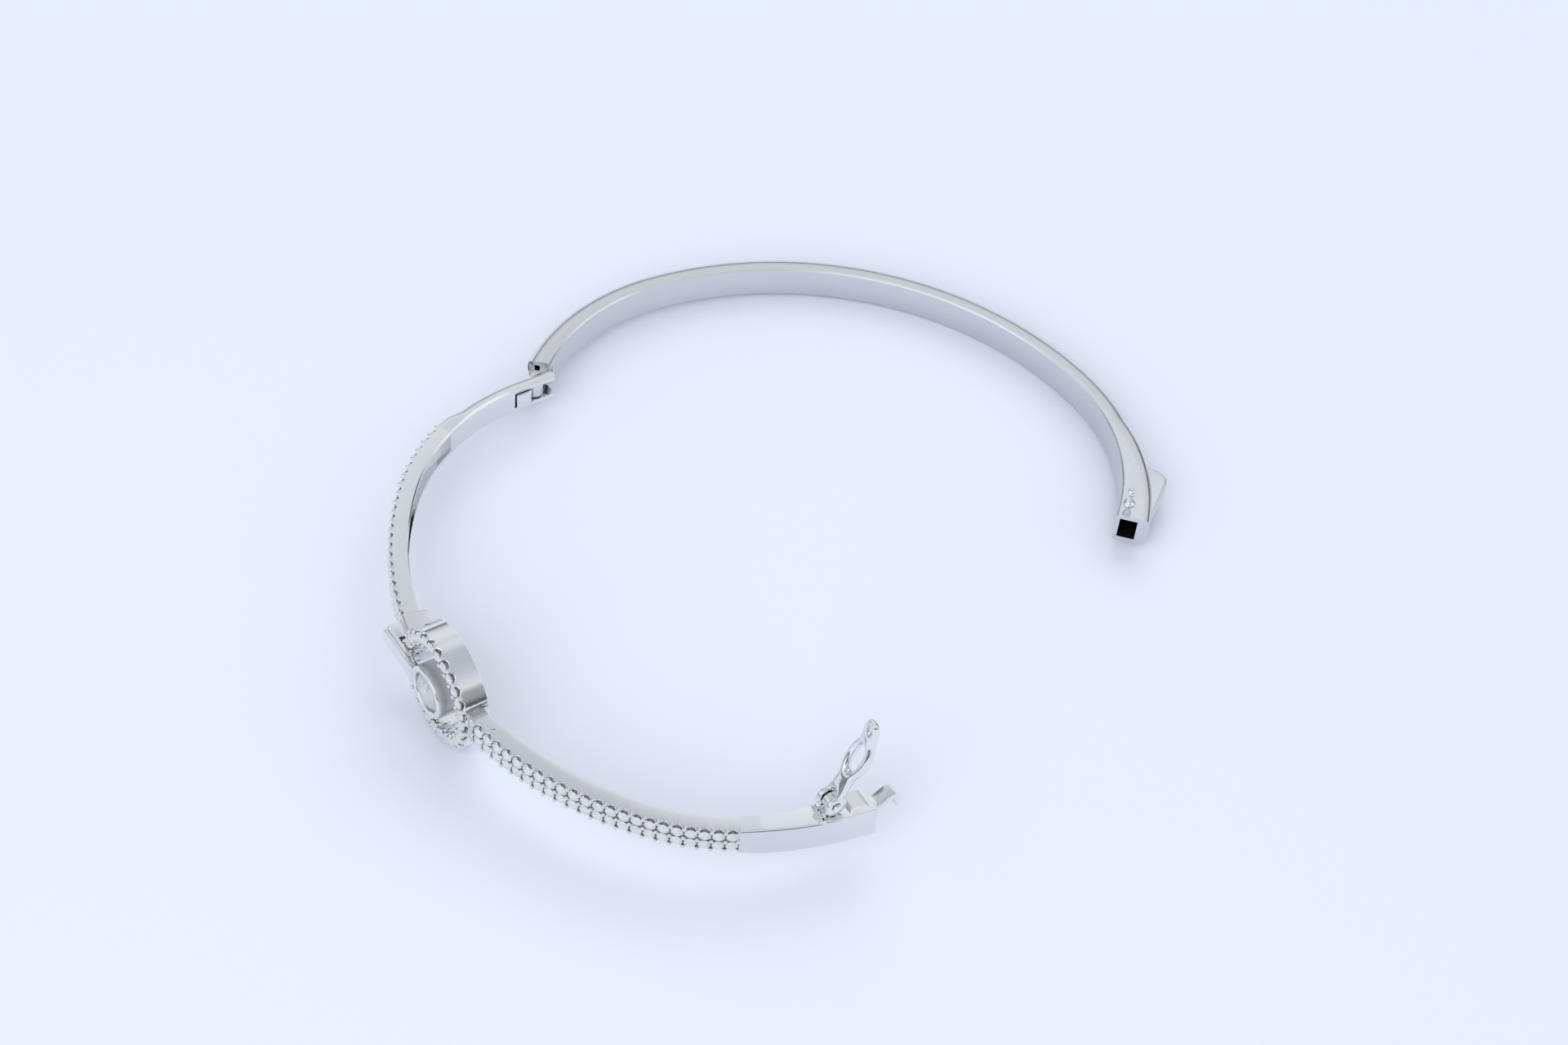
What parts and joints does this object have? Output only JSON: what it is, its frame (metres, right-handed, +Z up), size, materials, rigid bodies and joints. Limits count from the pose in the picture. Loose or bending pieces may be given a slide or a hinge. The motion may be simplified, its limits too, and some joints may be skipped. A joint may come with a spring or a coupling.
{
  "type": "hinged bangle bracelet",
  "caption": "Slim hinged oval bangle with stone-set arms, a round halo around a raised cup-set stone, a snap clasp and a figure-eight safety catch",
  "frame": {"origin": "centre of the footprint of the open bangle, on the surface it lies on", "axes": "+Z up from that surface, close to the axis of the wrist opening; the motif is at -Y, the hinge at -X, the clasp end of the front half at +X"},
  "size_m": [0.07, 0.0788, 0.0171],
  "materials": {
    "polished_silver": "mirror-polished, rhodium-bright silver",
    "pin_metal": "polished pin wire",
    "clear_stone": "clear faceted stones"
  },
  "bodies": {
    "front_half": {"hinge_end": "polished_silver", "hinge_ears": "polished_silver", "pave_arm_a": "polished_silver", "pave_bend_a": "polished_silver", "pave_arm_b": "polished_silver", "pave_bend_b": "polished_silver", "clasp_arm": "polished_silver", "clasp_block": "polished_silver", "connector_a": "polished_silver", "connector_b": "polished_silver", "halo_ring": "polished_silver", "halo_stones": "clear_stone", "halo_prongs": "polished_silver", "cup": "polished_silver", "cup_bar": "polished_silver", "centre_stone": "clear_stone", "stones_a_upper": "clear_stone", "stones_a_lower": "clear_stone", "stones_b_upper": "clear_stone", "stones_b_lower": "clear_stone", "prongs_a": "polished_silver", "prongs_b": "polished_silver", "hinge_pin": "pin_metal", "catch_lug": "polished_silver", "catch_pin": "pin_metal"},
    "back_half": {"back_bend_hinge": "polished_silver", "back_band": "polished_silver", "back_bend_clasp": "polished_silver", "hinge_leaf": "polished_silver", "clasp_box": "polished_silver", "thumb_plate": "polished_silver", "ball_stud": "polished_silver"},
    "safety_catch": {"catch_lever": "polished_silver", "catch_tip": "polished_silver"},
    "snap_tongue": {"tongue": "polished_silver"}
  },
  "joints": [
    {"name": "main_hinge", "type": "hinge", "parent": "front_half", "child": "back_half", "pos_m": [-0.02692, -0.01079, 0.0037], "axis": [-0.0286, 0.0518, 0.9982], "range_deg": [-43.4, 0]},
    {"name": "catch_pivot", "type": "hinge", "parent": "front_half", "child": "safety_catch", "pos_m": [0.03279, -0.01514, 0.00854], "axis": [0.9996, 0, 0.0286], "range_deg": [-68, 37]},
    {"name": "tongue_flex", "type": "hinge", "parent": "front_half", "child": "snap_tongue", "pos_m": [0.03326, -0.01085, 0.00535], "axis": [0.9996, 0, 0.0286], "range_deg": [-6, 0], "stiffness_Nm_per_rad": 0.02}
  ]
}
